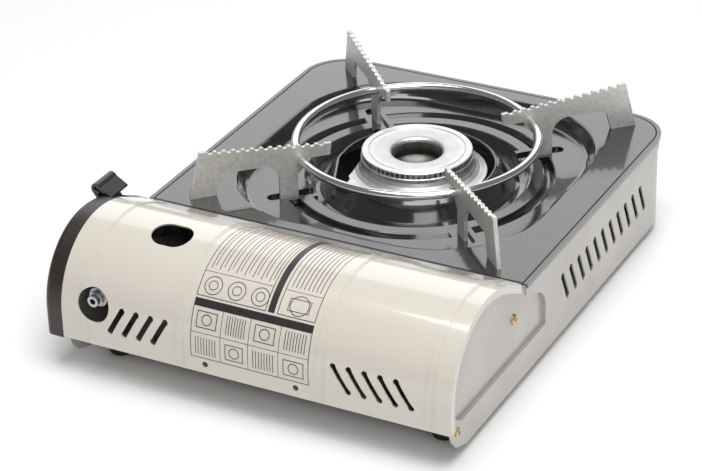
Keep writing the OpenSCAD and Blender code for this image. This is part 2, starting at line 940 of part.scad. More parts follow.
module collar_guide() {
    color([0.78, 0.78, 0.79])
    place()
        difference() {
            union() {
                translate([axis_x, -76, axis_z])
                    rotate([-90, 0, 0])
                        cylinder(r = 22, h = 1.2);
                // tab that meets the notch of the collar
                translate([axis_x - 4, -76, axis_z + 16])
                    cube([8, 9, 1.2]);
                translate([axis_x - 9, -76, axis_z - 22])
                    cube([18, 10, 1.2]);
                // ear round the slide and foot on the floor
                translate([125, -76, 46])
                    cube([22, 1.2, 11]);
                translate([axis_x - 9, -76, sheet_t])
                    cube([18, 1.2, 20]);
            }
            translate([axis_x, -77, axis_z])
                rotate([-90, 0, 0])
                    cylinder(r = 8.7, h = 4);
            // passage of the slide
            translate([127.2, -77, 52.7])
                cube([13.3, 4, 1.8]);
        }
}

module valve_bracket() {
    color([0.72, 0.72, 0.73])
    place()
        difference() {
            union() {
                translate([144, -110, 20.8])
                    cube([32, 28, 1.2]);
                translate([144, -110, sheet_t])
                    cube([1.2, 28, 20.6]);
                translate([174.8, -110, sheet_t])
                    cube([1.2, 28, 20.6]);
                translate([134, -110, sheet_t])
                    cube([11, 28, 1.2]);
                translate([175, -104, sheet_t])
                    cube([11, 22, 1.2]);
            }
            translate([150.2, -105.8, 19])
                cube([19.6, 21.6, 5]);
            for (x = [139.5, 180.5])
                translate([x, -96, 0])
                    cylinder(r = 1.43, h = 4, $fn = 24);
        }
}

module hose_inlet() {
    color([0.72, 0.73, 0.75])
    place()
        translate([182, inlet_y, inlet_z])
            rotate([0, 90, 0])
                difference() {
                    union() {
                        cylinder(r = 6.1, h = 7);
                        cylinder(r = 4.4, h = 31);
                        translate([0, 0, 13])
                            cylinder(r = 5.1, h = 9);
                        translate([0, 0, 24])
                            cylinder(r = 6.2, h = 4.5);
                        cylinder(r = 3.6, h = 34.6);
                    }
                    translate([0, 0, 4])
                        cylinder(r = 1.9, h = 40, $fn = 32);
                }
}

module inlet_nut() {
    color([0.70, 0.71, 0.73])
    place()
        translate([189, inlet_y, inlet_z])
            rotate([0, 90, 0])
                difference() {
                    cylinder(r = 9.2, h = 6, $fn = 6);
                    translate([0, 0, -1])
                        cylinder(r = 4.42, h = 9);
                }
}

module gas_pipe() {
    color([0.72, 0.45, 0.25])
    place()
        difference() {
            rotate([0, 0, tube_az])
                translate([104, 0, tube_z])
                    rotate([0, 90, 0])
                        cylinder(r = 3, h = 80, $fn = 32);
            translate([142, -140, 0])
                cube([60, 80, 60]);
        }
}

module gas_jet() {
    color([0.82, 0.68, 0.36])
    place()
        rotate([0, 0, tube_az])
            translate([93, 0, tube_z])
                rotate([0, 90, 0])
                    difference() {
                        union() {
                            cylinder(r = 2.6, h = 8, $fn = 32);
                            translate([0, 0, 6])
                                cylinder(r = 5, h = 5, $fn = 6);
                        }
                        translate([0, 0, -1])
                            cylinder(r = 0.6, h = 6, $fn = 16);
                    }
}

// ---------- ignition ----------
module piezo_igniter() {
    color([0.20, 0.22, 0.26])
    place()
        difference() {
          union() {
            translate([115.2, -126, sheet_t])
                cube([14.8, 17, 30]);
            translate([121, -117.5, sheet_t + 29])
                cylinder(r = 5, h = 7);
            translate([131.5, -124, sheet_t])
                cube([2, 12, 12]);
            translate([129, -124, sheet_t])
                cube([4, 12, 1.2]);
          }
          // socket of the lead
          translate([115.1, -112, 26])
              rotate([0, 90, 0])
                  cylinder(r = 1.36, h = 4, $fn = 32);
        }
}

// flat-sided wire along a list of points, each stretch running a little past its ends
module wire(pts, r) {
    for (i = [0 : len(pts) - 2]) {
        d = pts[i + 1] - pts[i];
        translate(pts[i])
            rotate([0, acos(d[2] / norm(d)), atan2(d[1], d[0])])
                translate([0, 0, -r * 0.7])
                    cylinder(r = r, h = norm(d) + r * 1.4, $fn = 8);
    }
}

electrode_az = 54;
electrode_r = 45.3;
ex = electrode_r * cos(electrode_az);
ey = electrode_r * sin(electrode_az);

module ignition_lead() {
    color([0.75, 0.12, 0.10])
    place()
        wire([[117.5, -112, 26], [100, -112, 26], [94, -104, 5], [88, 10, 3.6],
            [52, 44, 3.6], [ex, ey, 7], [ex, ey, 41]], 1.3);
}

module electrode_insulator() {
    color([0.93, 0.92, 0.88])
    place()
        translate([ex, ey, 42])
            difference() {
                union() {
                    cylinder(r = 2.55, h = 19, $fn = 32);
                    translate([0, 0, 9])
                        cylinder(r = 3.9, h = 4.97, $fn = 32);
                }
                translate([0, 0, -1])
                    cylinder(r = 1.03, h = 30, $fn = 24);
            }
}

module ignition_electrode() {
    color([0.78, 0.78, 0.80])
    place()
        translate([ex, ey, 42.2]) {
            cylinder(r = 1, h = 22.3, $fn = 24);
            translate([0, 0, 22.3])
                sphere(r = 1.2, $fn = 24);
        }
}

// ---------- burner ----------
module mixing_tube() {
    color([0.70, 0.71, 0.72])
    place()
        rotate([0, 0, tube_az])
            translate([0, 0, tube_z])
                rotate([0, 90, 0]) {
                    rotate_extrude($fn = 48)
                        polygon([[8.4, 29.7], [8.4, 70], [9.2, 78], [12, 84], [12, 86], [11, 86],
                            [8.3, 79], [7.4, 70], [7.4, 60], [6.6, 50], [7.4, 38], [7.4, 29.7]]);
                    // yoke that holds the jet in front of the mouth
                    for (s = [-1, 1])
                        translate([-3, s > 0 ? 10.9 : -12.1, 85])
                            cube([6, 1.2, 16.4]);
                    difference() {
                        translate([-5.2, -12.1, 100])
                            cube([10.4, 24.2, 1.4]);
                        translate([0, 0, 90])
                            cylinder(r = 2.62, h = 12, $fn = 32);
                        translate([0, 0, 98])
                            cylinder(r = 5.03, h = 12, $fn = 6);
                    }
                }
}

module burner_bracket() {
    color([0.70, 0.70, 0.71])
    place()
        difference() {
            union() {
                translate([-30, -12, 20.8])
                    cube([60, 24, 1.2]);
                translate([-30, -12, sheet_t])
                    cube([1.2, 24, 20.6]);
                translate([28.8, -12, sheet_t])
                    cube([1.2, 24, 20.6]);
                translate([-40, -12, sheet_t])
                    cube([11, 24, 1.2]);
                translate([29, -12, sheet_t])
                    cube([11, 24, 1.2]);
            }
            cylinder(r = 11, h = 60);
            for (x = [-35, 35])
                translate([x, 0, 0])
                    cylinder(r = 1.43, h = 4, $fn = 24);
        }
}

function body_section() = [[14.6, 22], [28.5, 22], [30, 23.5], [30, 42.5], [33, 46.5],
    [38.4, 52.5], [42.4, 55.9], [44.6, 56], [44.6, 56.9], [42.6, 57.3], [40, 58.3],
    [37.6, 60], [35.8, 62.2], [34.9, 64.6], [35.6, 65.3], [36.2, 66], [36.2, 67.6],
    [35.8, 68], [19, 68], [19, 58], [14.6, 54]];

module burner_body() {
    s = plate_h - 63.2;
    color([0.77, 0.77, 0.76])
    place()
        difference() {
            union() {
                difference() {
                    rotate_extrude($fn = 96)
                        polygon([for (p = body_section()) [p[0], p[1] + (p[1] > 43 ? s : 0)]]);
                    // straight cut of the spill flange towards the front
                    translate([-60, -60, 43 + s])
                        rotate([0, 0, 0])
                            cube([120, 24.2, 30]);
                }
                // squared corner of the flange
                translate([0, 0, 56 + s])
                    linear_extrude(height = 0.9)
                        polygon([[0, -35.8], [10.8, -35.3], [42.5, -31.6], [44.2, -8], [30, -8],
                            [0, -30]]);
                // ear that carries the insulator
                translate([ex, ey, 56 + s])
                    cylinder(r = 4.4, h = 0.9, $fn = 32);
                // boss for the mixing tube
                rotate([0, 0, tube_az])
                    translate([24, 0, tube_z])
                        rotate([0, 90, 0])
                            cylinder(r = 9.6, h = 10);
            }
            rotate([0, 0, tube_az])
                translate([29.6, 0, tube_z])
                    rotate([0, 90, 0])
                        cylinder(r = 8.42, h = 10);
            translate([ex, ey, 40])
                cylinder(r = 4.2, h = 15.99 + s, $fn = 32);
            translate([ex, ey, 50])
                cylinder(r = 2.57, h = 16, $fn = 32);
        }
}

module burner_cap() {
    color([0.86, 0.86, 0.85])
    place()
        translate([0, 0, cap_z])
            difference() {
                rotate_extrude($fn = 128)
                    polygon([[eye_r, -9.6], [eye_r + 1.5, -9.6], [eye_r + 1.5, -3.9],
                        [cap_r - 0.3, -3.9], [cap_r, -3.6], [cap_r, -0.5], [cap_r - 0.5, 0],
                        [31.4, 0], [31.1, -0.4], [30.7, -0.4], [30.4, -0.1], [24, -0.5],
                        [19.5, -0.8], [17.8, -1.2], [16.7, -2], [eye_r, -3.4]]);
                // flame ports
                for (i = [0 : ports - 1])
                    rotate([0, 0, i * 360 / ports])
                        translate([30.5, -0.85, -3.91])
                            cube([8, 1.7, 3.2]);
            }
}

// ---------- cartridge holders ----------
module cartridge_cradle() {
    color([0.76, 0.76, 0.78])
    place()
        difference() {
            union() {
                for (y = [-42, 68])
                    translate([136, y, sheet_t])
                        cube([48, 4, 13]);
                translate([148, -52, sheet_t])
                    cube([24, 134, 1.4]);
            }
            translate([axis_x, -60, axis_z])
                rotate([-90, 0, 0])
                    cylinder(r = 34.4, h = 160, $fn = 96);
            translate([160, 30, 0])
                cylinder(r = 1.43, h = 4, $fn = 24);
        }
}

module end_spring() {
    color([0.78, 0.78, 0.80])
    place()
        translate([axis_x - 10, 0, 0])
            rotate([90, 0, 90])
                linear_extrude(height = 20)
                    strip2d([[wall_y - 3.95, 22], [wall_y - 3.95, 28], [wall_y - 10, 34],
                        [wall_y - 11, 39], [wall_y - 5, 50], [wall_y - 6.2, 53]], 0.9);
}

// ---------- pan support ----------
module support_ring() {
    color([0.80, 0.80, 0.80])
    place()
        translate([0, 0, ring_z])
            rotate_extrude($fn = 128)
                translate([ring_r, 0])
                    circle(r = ring_wire / 2, $fn = 32);
}

// side view of one arm: radius against height above the flat rim
module arm_shape() {
    leg_low = -dish_depth - 2.2;
    difference() {
        polygon([[57.3, 23.2], [58.2, 15.4], [70, 15.4], [79.8, 5], [79.8, leg_low],
            [91.8, leg_low], [91.8, 0], [133.2, 0], [150.2, 0], [142.6, arm_rise],
            [141, arm_rise]]);
        // window between the legs
        translate([91.8, -1])
            square([37.7, 4.1]);
        translate([103, 3])
            circle(r = 11.2, $fn = 64);
        translate([103, 2])
            square([22, 12.2]);
        translate([125, 8.6])
            circle(r = 5.6, $fn = 32);
        polygon([[120, -1], [133.4, -1], [130.6, 8.6], [120, 8.6]]);
        // scalloped top edge
        for (i = [0 : 12])
            translate([63.5 + i * 6, 23.2 + (6.2 + i * 6) * (arm_rise - 23.2) / 85.3 + 0.6])
                circle(r = 2.1, $fn = 16);
    }
    // rounded root of the inner leg
    difference() {
        polygon([[72.8, 15.5], [82, 15.5], [82, 5], [79.8, 5], [79.8, 8.4], [72.8, 8.4]]);
        translate([72.8, 8.4])
            circle(r = 7, $fn = 48);
    }
}

module support_arm(az) {
    difference() {
        rotate([0, 0, az])
            translate([0, arm_t / 2, plate_h])
                rotate([90, 0, 0])
                    linear_extrude(height = arm_t)
                        difference() {
                            arm_shape();
                            // underside in front of the inner leg
                            polygon([[56, 8], [72.8, 8], [72.8, 15.4], [56, 15.4]]);
                        }
        translate([0, 0, ring_z])
            rotate_extrude($fn = 128)
                translate([ring_r, 0])
                    circle(r = ring_wire / 2 - 0.15, $fn = 32);
    }
}

module arm_front_left() {
    color([0.70, 0.70, 0.68])
    place()
        support_arm(225);
}

module arm_front_right() {
    color([0.70, 0.70, 0.68])
    place()
        support_arm(315);
}

module arm_back_left() {
    color([0.70, 0.70, 0.68])
    place()
        support_arm(135);
}

module arm_back_right() {
    color([0.70, 0.70, 0.68])
    place()
        support_arm(45);
}

// ---------- feet and screws ----------
module foot(i) {
    p = foot_points()[i];
    color([0.10, 0.10, 0.10])
    place()
        translate([p[0], p[1], -foot_h])
            rotate_extrude($fn = 48)
                polygon([[0, 0], [6.6, 0], [7.6, 0.6], [8, 1.8], [8, foot_h], [3.95, foot_h],
                    [3.95, foot_h + sheet_t], [4.5, foot_h + sheet_t], [4.2, foot_h + 2.6],
                    [0, foot_h + 2.6]]);
}

module foot_front_left() {
    foot(0);
}

module foot_front_right() {
    foot(1);
}

module foot_back_left() {
    foot(2);
}

module foot_back_right() {
    foot(3);
}

// pan-head screw along +Z, head on top of z = 0
module pan_screw(r, h, shank, len) {
    difference() {
        union() {
            cylinder(r = r, h = h * 0.6, $fn = 32);
            translate([0, 0, h * 0.5])
                cylinder(r1 = r, r2 = r * 0.7, h = h * 0.5, $fn = 32);
            translate([0, 0, -len])
                cylinder(r = shank, h = len + eps, $fn = 24);
        }
        for (a = [0, 90])
            rotate([0, 0, a])
                translate([-r * 0.5, -0.4, h * 0.45])
                    cube([r, 0.8, h]);
    }
}

module back_screws() {
    color([0.66, 0.66, 0.67])
    place() {
        translate([back_screw_points()[0][0], wall_y - 2.4, back_screw_points()[0][1]])
            rotate([-90, 0, 0])
                pan_screw(3.3, 1.8, 1.5, 4);
        translate([back_screw_points()[1][0], wall_y, back_screw_points()[1][1]])
            rotate([-90, 0, 0])
                pan_screw(3.2, 1.2, 1.5, 4);
    }
}

module base_screws() {
    color([0.66, 0.66, 0.67])
    place()
        for (p = base_screw_points())
            translate([p[0], p[1], 0])
                rotate([180, 0, 0])
                    pan_screw(3, 1.4, 1.4, 2.7);
}

tray();
bay_partition();
top_plate();
cartridge_cover();
cover_hinge_rod();
front_panel();
control_knob();
valve_spindle();
lock_lever();
lever_pivot_pin();
lever_bracket();
lever_spring();
locking_slide();
valve_body();
regulator_cap();
cartridge_socket();
collar_guide();
valve_bracket();
hose_inlet();
inlet_nut();
gas_pipe();
gas_jet();
piezo_igniter();
ignition_lead();
electrode_insulator();
ignition_electrode();
mixing_tube();
burner_bracket();
burner_body();
burner_cap();
cartridge_cradle();
end_spring();
support_ring();
arm_front_left();
arm_front_right();
arm_back_left();
arm_back_right();
foot_front_left();
foot_front_right();
foot_back_left();
foot_back_right();
back_screws();
panel_screws();
base_screws();
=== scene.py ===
import math
import bmesh
import bpy
from mathutils import Matrix, Vector


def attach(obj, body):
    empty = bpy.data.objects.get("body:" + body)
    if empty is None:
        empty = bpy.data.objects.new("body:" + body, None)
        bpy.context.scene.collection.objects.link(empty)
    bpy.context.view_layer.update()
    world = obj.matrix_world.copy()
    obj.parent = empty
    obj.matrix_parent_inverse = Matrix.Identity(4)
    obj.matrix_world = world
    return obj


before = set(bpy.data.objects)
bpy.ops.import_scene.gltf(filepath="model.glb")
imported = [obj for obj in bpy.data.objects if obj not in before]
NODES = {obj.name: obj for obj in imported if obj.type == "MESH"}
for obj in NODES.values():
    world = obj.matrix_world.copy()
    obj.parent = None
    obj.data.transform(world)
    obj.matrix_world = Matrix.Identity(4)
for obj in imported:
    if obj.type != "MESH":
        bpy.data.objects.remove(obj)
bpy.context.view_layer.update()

# place of the burner's axis on the tray's underside in the frame, in metres
OX, OY, OZ = -0.0493, 0.0129, 0.0055


def P(x, y, z):
    """A point given in millimetres from the burner's axis, as part.scad gives it."""
    return Vector((x * 0.001 + OX, y * 0.001 + OY, z * 0.001 + OZ))


def add_object(name, data):
    """A new object in the scene that shows a mesh, a camera or a light."""
    o = bpy.data.objects.new(name, data)
    bpy.context.scene.collection.objects.link(o)
    return o


# ---------------------------------------------------------------- camera
# the photograph's view: azimuth, elevation and roll in radians, place in metres
CAM_AZIMUTH, CAM_ELEVATION, CAM_ROLL = 2.065, 0.503, -0.029
CAM_PLACE = (1.2644, 0.6710, 0.8235)
CAM_LENS, CAM_SENSOR = 132.4, 36
CAM_NEAR, CAM_FAR = 0.05, 20


def make_camera():
    flat = math.cos(CAM_ELEVATION)
    back = Vector((math.sin(CAM_AZIMUTH) * flat, -math.cos(CAM_AZIMUTH) * flat,
                   math.sin(CAM_ELEVATION)))
    fwd = -back
    level_right = fwd.cross(Vector((0, 0, 1))).normalized()
    level_up = level_right.cross(fwd)
    right = math.cos(CAM_ROLL) * level_right + math.sin(CAM_ROLL) * level_up
    up = -math.sin(CAM_ROLL) * level_right + math.cos(CAM_ROLL) * level_up
    cam = bpy.data.cameras.new("camera")
    cam.sensor_width = CAM_SENSOR
    cam.lens = CAM_LENS
    cam.clip_start = CAM_NEAR
    cam.clip_end = CAM_FAR
    obj = add_object("camera", cam)
    turn = Matrix((right, up, back)).transposed().to_4x4()
    turn.translation = Vector(CAM_PLACE)
    obj.matrix_world = turn
    bpy.context.scene.camera = obj


# ---------------------------------------------------------------- materials
# name, darker colour, lighter colour, mottle scale, roughness range, metallic, coat,
# coat roughness, relief scale, relief depth in metres
SURFACES = {
    "enamel": ("cream_enamel", (0.625, 0.585, 0.515), (0.64, 0.60, 0.53), 14,
               (0.18, 0.23), 0.0, 0.9, 0.05, 900, 0.00002),
    "tray": ("tray_enamel", (0.47, 0.45, 0.42), (0.54, 0.52, 0.48), 18,
             (0.30, 0.42), 0.35, 0.25, 0.2, 700, 0.00005),
    "plate": ("dark_enamel", (0.0060, 0.0052, 0.0048), (0.0115, 0.0105, 0.0100), 60,
              (0.13, 0.20), 0.08, 0.9, 0.06, 1500, 0.00002),
    "zinc": ("zinc_plate", (0.42, 0.43, 0.45), (0.60, 0.61, 0.62), 120,
             (0.30, 0.48), 1.0, 0, 0.1, 600, 0.00003),
    "arm": ("plated_arm", (0.56, 0.55, 0.53), (0.74, 0.73, 0.70), 420,
            (0.40, 0.58), 0.55, 0, 0.1, 1100, 0.00008),
    "chrome": ("bright_wire", (0.62, 0.62, 0.62), (0.74, 0.74, 0.74), 40,
               (0.08, 0.16), 1.0, 0, 0.1, 500, 0.00001),
    "burner": ("burner_alloy", (0.66, 0.655, 0.645), (0.77, 0.765, 0.755), 90,
               (0.36, 0.50), 1.0, 0, 0.1, 1200, 0.00005),
    "cast": ("cast_zinc", (0.40, 0.40, 0.41), (0.52, 0.52, 0.53), 200,
             (0.42, 0.55), 1.0, 0, 0.1, 900, 0.0001),
    "brass": ("brass", (0.60, 0.44, 0.18), (0.72, 0.54, 0.24), 100,
              (0.22, 0.34), 1.0, 0, 0.1, 700, 0.00003),
    "copper": ("copper", (0.56, 0.28, 0.15), (0.70, 0.38, 0.22), 90,
               (0.24, 0.40), 1.0, 0, 0.1, 500, 0.00003),
    "screw": ("yellow_zinc", (0.56, 0.44, 0.22), (0.72, 0.58, 0.32), 260,
              (0.24, 0.40), 1.0, 0, 0.1, 700, 0.00003),
    "black": ("black_plastic", (0.010, 0.010, 0.010), (0.018, 0.018, 0.018), 300,
              (0.34, 0.48), 0.0, 0.1, 0.3, 2600, 0.00006),
    "panel": ("brown_black_plastic", (0.019, 0.0135, 0.011), (0.029, 0.021, 0.017), 300,
              (0.34, 0.46), 0.0, 0.15, 0.3, 2600, 0.00006),
    "gloss": ("gloss_plastic", (0.008, 0.008, 0.008), (0.014, 0.014, 0.014), 200,
              (0.20, 0.30), 0.0, 0.2, 0.2, 900, 0.00002),
    "lever": ("black_lever", (0.016, 0.016, 0.018), (0.028, 0.028, 0.030), 200,
              (0.26, 0.38), 0.2, 0.4, 0.2, 800, 0.00004),
    "rubber": ("rubber", (0.012, 0.012, 0.012), (0.022, 0.022, 0.022), 200,
               (0.60, 0.75), 0.0, 0, 0.1, 1200, 0.00008),
    "red": ("lead_rubber", (0.38, 0.03, 0.02), (0.46, 0.05, 0.03), 200,
            (0.40, 0.52), 0.0, 0, 0.1, 900, 0.00003),
    "porcelain": ("porcelain", (0.74, 0.72, 0.66), (0.82, 0.80, 0.75), 120,
                  (0.16, 0.24), 0.0, 0.4, 0.1, 400, 0.00002),
    "print": ("panel_print", (0.014, 0.014, 0.014), (0.026, 0.025, 0.024), 400,
              (0.38, 0.50), 0.0, 0.2, 0.2, 900, 0.00001),
    "print_grey": ("panel_print_grey", (0.05, 0.047, 0.045), (0.08, 0.075, 0.07), 400,
                   (0.38, 0.50), 0.0, 0.2, 0.2, 900, 0.00001),
    # painted shade: near-black colour for the strip that stands in for the shade in the crease
    # round the plate
    "seam": ("seam_black", (0.0025, 0.0022, 0.0020), (0.0050, 0.0046, 0.0042), 500,
             (0.62, 0.78), 0.0, 0, 0.1, 900, 0.00002),
    "rivet": ("dark_rivet", (0.020, 0.019, 0.012), (0.040, 0.038, 0.026), 600,
              (0.28, 0.40), 0.3, 0.2, 0.2, 900, 0.00002),
}
# index of refraction: the dark enamel mirrors more strongly than the rest
USUAL_IOR, PLATE_IOR = 1.5, 1.65

WEAR = {
    "enamel": ["cartridge_cover"],
    "tray": ["tray"],
    "plate": ["top_plate"],
    "zinc": ["bay_partition", "cover_hinge_rod", "lever_pivot_pin", "lever_bracket",
             "lever_spring", "locking_slide", "collar_guide", "valve_bracket", "hose_inlet",
             "inlet_nut", "ignition_electrode", "burner_bracket", "cartridge_cradle",
             "end_spring"],
    "screw": ["back_screws", "panel_screws", "base_screws"],
    "arm": ["arm_front_left", "arm_front_right", "arm_back_left", "arm_back_right"],
    "chrome": ["support_ring"],
    "burner": ["burner_body", "burner_cap"],
    "cast": ["valve_body", "regulator_cap", "mixing_tube"],
    "brass": ["valve_spindle", "cartridge_socket", "gas_jet"],
    "copper": ["gas_pipe"],
    "panel": ["front_panel"],
    "black": ["piezo_igniter"],
    "gloss": ["control_knob"],
    "lever": ["lock_lever"],
    "rubber": ["foot_front_left", "foot_front_right", "foot_back_left", "foot_back_right"],
    "red": ["ignition_lead"],
    "porcelain": ["electrode_insulator"],
}

# where the mottle starts and ends on its noise, and how much finer the gloss varies
MOTTLE_LOW, MOTTLE_HIGH = 0.3, 0.7
GLOSS_FINER = 2.3
RELIEF_STRENGTH = 0.5

# painted shade in the burner's bore, darker inside and lower down: radii and heights between
# which it fades out, in metres
BORE_SHADE_COLOUR = (0.10, 0.092, 0.082, 1)
BORE_SHADE_RADII = (0.0148, 0.028)
BORE_SHADE_HEIGHTS = (0.0655, 0.0785)


def new_material(name):
    m = bpy.data.materials.new(name)
    m.use_nodes = True
    nt = m.node_tree
    for n in list(nt.nodes):
        nt.nodes.remove(n)
    out = nt.nodes.new("ShaderNodeOutputMaterial")
    bsdf = nt.nodes.new("ShaderNodeBsdfPrincipled")
    nt.links.new(bsdf.outputs[0], out.inputs[0])
    return m, nt, bsdf


def noise(nt, scale, detail, rough):
    tc = nt.nodes.new("ShaderNodeTexCoord")
    n = nt.nodes.new("ShaderNodeTexNoise")
    n.inputs["Scale"].default_value = scale
    n.inputs["Detail"].default_value = detail
    n.inputs["Roughness"].default_value = rough
    nt.links.new(tc.outputs["Object"], n.inputs["Vector"])
    return n.outputs["Fac"]


def ramp(nt, source, low, high, low_colour, high_colour):
    r = nt.nodes.new("ShaderNodeValToRGB")
    ends = ((low, low_colour), (high, high_colour))
    for element, (place, colour) in zip(r.color_ramp.elements, ends):
        element.position = place
        element.color = (*colour, 1)
    nt.links.new(source, r.inputs[0])
    return r.outputs[0]


def bump(nt, bsdf, source, depth):
    b = nt.nodes.new("ShaderNodeBump")
    b.inputs["Strength"].default_value = RELIEF_STRENGTH
    b.inputs["Distance"].default_value = depth
    nt.links.new(source, b.inputs["Height"])
    nt.links.new(b.outputs[0], bsdf.inputs["Normal"])


def finish(name, dark, light, scale, rough, metal, coat, coat_rough, relief, depth, ior):
    """One surface: a mottled colour, an uneven gloss and a fine relief, all from noise."""
    m, nt, b = new_material(name)
    mottle = noise(nt, scale, detail=4, rough=0.6)
    colour = ramp(nt, mottle, MOTTLE_LOW, MOTTLE_HIGH, dark, light)
    nt.links.new(colour, b.inputs["Base Color"])
    uneven = noise(nt, scale * GLOSS_FINER, detail=3, rough=0.5)
    gloss = ramp(nt, uneven, MOTTLE_LOW, MOTTLE_HIGH, [rough[0]] * 3, [rough[1]] * 3)
    nt.links.new(gloss, b.inputs["Roughness"])
    b.inputs["Metallic"].default_value = metal
    b.inputs["IOR"].default_value = ior
    b.inputs["Coat Weight"].default_value = coat
    b.inputs["Coat Roughness"].default_value = coat_rough
    bump(nt, b, noise(nt, relief, detail=2, rough=0.5), depth)
    return m


def vector_node(nt, operation, source, value=None):
    n = nt.nodes.new("ShaderNodeVectorMath")
    n.operation = operation
    nt.links.new(source, n.inputs[0])
    if value:
        n.inputs[1].default_value = value
    return n


def map_range(nt, source, ends):
    n = nt.nodes.new("ShaderNodeMapRange")
    n.inputs["From Min"].default_value, n.inputs["From Max"].default_value = ends
    nt.links.new(source, n.inputs["Value"])
    return n.outputs[0]


def paint_bore_shade(m):
    """Painted shade: darken the colour inside the bore and lower down in it, standing in for the
    shade in the hole.
    """
    nt = m.node_tree
    base = nt.nodes["Principled BSDF"].inputs["Base Color"]
    unshaded = base.links[0].from_socket
    tc = nt.nodes.new("ShaderNodeTexCoord")
    from_axis = vector_node(nt, "SUBTRACT", tc.outputs["Object"], (OX, OY, 0)).outputs[0]
    height = nt.nodes.new("ShaderNodeSeparateXYZ")
    nt.links.new(from_axis, height.inputs[0])
    flat = vector_node(nt, "MULTIPLY", from_axis, (1, 1, 0)).outputs[0]
    radius = vector_node(nt, "LENGTH", flat)
    outside = nt.nodes.new("ShaderNodeMath")
    outside.operation = "MAXIMUM"
    nt.links.new(map_range(nt, radius.outputs["Value"], BORE_SHADE_RADII), outside.inputs[0])
    nt.links.new(map_range(nt, height.outputs["Z"], BORE_SHADE_HEIGHTS), outside.inputs[1])
    mix = nt.nodes.new("ShaderNodeMix")
    mix.data_type = "RGBA"
    # a colour mix has its factor, two colours and result on sockets 0, 6, 7 and 2
    nt.links.new(outside.outputs[0], mix.inputs[0])
    mix.inputs[6].default_value = BORE_SHADE_COLOUR
    nt.links.new(unshaded, mix.inputs[7])
    nt.links.new(mix.outputs[2], base)


def make_materials():
    M = {}
    for key, row in SURFACES.items():
        M[key] = finish(*row, PLATE_IOR if key == "plate" else USUAL_IOR)
    # painted shade in the burner's bore
    paint_bore_shade(M["burner"])
    return M


def dress_nodes(M):
    for key, names in WEAR.items():
        for n in names:
            slots = NODES[n].material_slots
            if not slots:
                NODES[n].data.materials.append(M[key])
            for s in slots:
                s.material = M[key]


# ---------------------------------------------------------------- mesh helpers
def add_mesh(name, verts, faces, mat, body, smooth):
    me = bpy.data.meshes.new(name)
    me.from_pydata([tuple(v) for v in verts], [], faces)
    me.validate()
    me.update()
    bm = bmesh.new()
    bm.from_mesh(me)
    bmesh.ops.recalc_face_normals(bm, faces=bm.faces)
    bm.to_mesh(me)
    bm.free()
    for p in me.polygons:
        p.use_smooth = smooth
    me.materials.append(mat)
    o = add_object(name, me)
    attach(o, body)


def slab_faces(a, b):
    """The long faces of a thin slab between one row of four points and the next."""
    return [(a, a + 1, b + 1, b), (a + 2, b + 2, b + 3, a + 3),
            (a, b, b + 2, a + 2), (a + 1, a + 3, b + 3, b + 1)]


# the cover's profile in millimetres from the burner's axis: a straight side up to BZ, a
# quarter of radius R1 about (BX, BZ), a crown of radius R2 about (BX, AZ), and a slope
# down to the hinge
BX, BZ, R1 = 170.6, 34.5, 48.7
AZ, R2, SLOPE = 19.2, 64.0, math.radians(26.565)
S_ARC1 = R1 * math.pi / 2
S_ARC2 = R2 * SLOPE


def profile(s, lift):
    """Point (x, z) on the cover at arc length s above the height BZ, lifted off the surface."""
    if s <= 0:
        return BX + R1 + lift, BZ + s
    if s <= S_ARC1:
        a = s / R1
        return BX + (R1 + lift) * math.cos(a), BZ + (R1 + lift) * math.sin(a)
    if s <= S_ARC1 + S_ARC2:
        a = math.pi / 2 + (s - S_ARC1) / R2
        return BX + (R2 + lift) * math.cos(a), AZ + (R2 + lift) * math.sin(a)
    d = s - S_ARC1 - S_ARC2
    a = math.pi / 2 + SLOPE
    x = BX + (R2 + lift) * math.cos(a) - d * math.cos(SLOPE)
    z = AZ + (R2 + lift) * math.sin(a) - d * math.sin(SLOPE)
    return x, z


def s_at_height(z):
    """Arc length at a height on the side or the outer quarter."""
    return z - BZ if z <= BZ else R1 * math.asin((z - BZ) / R1)


def s_at_x(x):
    """Arc length at an x on the crown or the slope."""
    a = math.acos((x - BX) / R2)
    if a <= math.pi / 2 + SLOPE:
        return S_ARC1 + R2 * (a - math.pi / 2)
    slope_start = BX - R2 * math.sin(SLOPE)
    return S_ARC1 + S_ARC2 + (slope_start - x) / math.cos(SLOPE)


# ---------------------------------------------------------------- printed graphic
# how far the ink stands off the cover and reaches into it, and its longest steps, in mm
INK_TOP, INK_BOTTOM = 0.055, -0.03
LINE_STEP, RECT_STEP = 2.0, 1.5
RING_SIDES = 40


